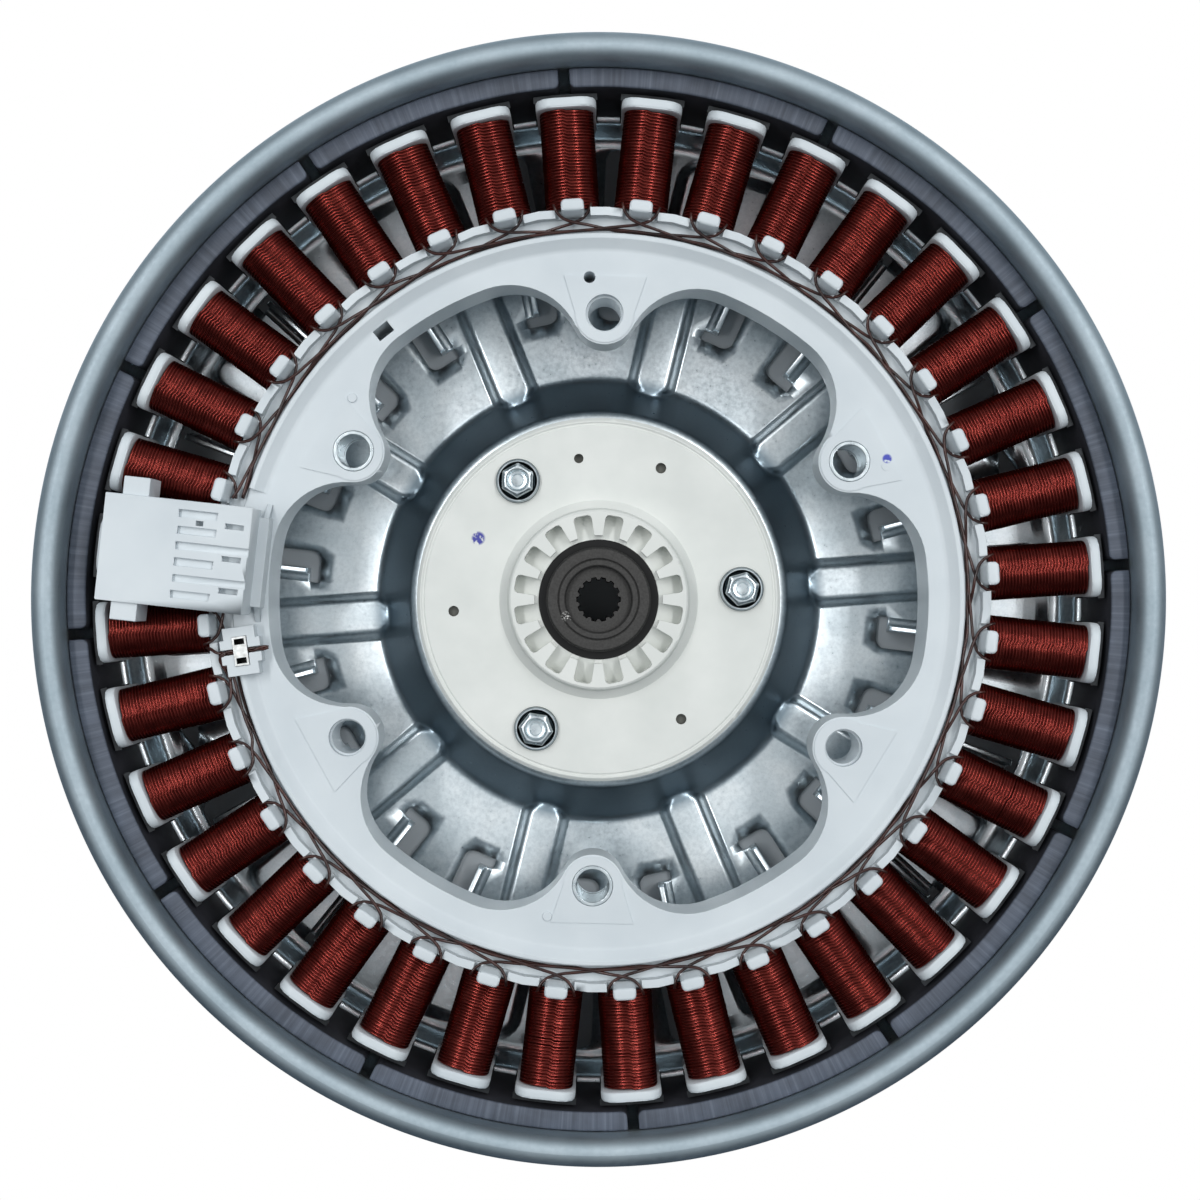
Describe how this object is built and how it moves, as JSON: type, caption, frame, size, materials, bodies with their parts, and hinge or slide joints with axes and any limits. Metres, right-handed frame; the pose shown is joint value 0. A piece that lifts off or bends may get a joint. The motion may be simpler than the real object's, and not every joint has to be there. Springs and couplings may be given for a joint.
{
  "type": "washing machine motor stator nested in its outer rotor",
  "caption": "Wound salient-tooth stator with moulded insulation and plug housing, seated in a sheet-steel outer rotor with magnets, hub and splined bush.",
  "frame": {"origin": "on the motor's axis, in the plane of the rotor's back face", "axes": "+Z along the axis, out of the rotor's open side; +X to the right of the picture and +Y up in it"},
  "size_m": [0.29, 0.29, 0.0546],
  "materials": {
    "galvanised_sheet": "galvanised sheet, satin with soft spangle",
    "hub_plastic": "moulded filled plastic, satin",
    "white_plastic": "moulded plastic, satin",
    "dark_steel": "blackened steel, dull",
    "lamination_steel": "stacked laminations, dull",
    "ferrite": "ground ferrite, dull grey",
    "enamelled_wire": "red-brown enamelled winding wire, glossy",
    "zinc_steel": "bright zinc plate",
    "tinned_brass": "tinned strip"
  },
  "bodies": {
    "stator": {"stator_core": "lamination_steel", "insulator_upper": "white_plastic", "insulator_lower": "white_plastic", "winding_u": "enamelled_wire", "winding_v": "enamelled_wire", "winding_w": "enamelled_wire", "mounting_bush_1": "zinc_steel", "mounting_bush_2": "zinc_steel", "mounting_bush_3": "zinc_steel", "connector_housing": "white_plastic", "phase_terminal_1": "tinned_brass", "phase_terminal_2": "tinned_brass", "phase_terminal_3": "tinned_brass", "star_terminal": "tinned_brass"},
    "rotor": {"rotor_frame": "galvanised_sheet", "rotor_hub": "hub_plastic", "spline_bush": "dark_steel", "magnet_01": "ferrite", "magnet_02": "ferrite", "magnet_03": "ferrite", "magnet_04": "ferrite", "magnet_05": "ferrite", "magnet_06": "ferrite", "magnet_07": "ferrite", "magnet_08": "ferrite", "magnet_09": "ferrite", "magnet_10": "ferrite", "magnet_11": "ferrite", "magnet_12": "ferrite", "hub_bolt_1": "zinc_steel", "hub_nut_1": "zinc_steel", "hub_bolt_2": "zinc_steel", "hub_nut_2": "zinc_steel", "hub_bolt_3": "zinc_steel", "hub_nut_3": "zinc_steel"}
  },
  "joints": [
    {"name": "rotor_spin", "type": "hinge", "parent": "stator", "child": "rotor", "pos_m": [0, 0, 0], "axis": [0, 0, 1], "continuous": true}
  ]
}
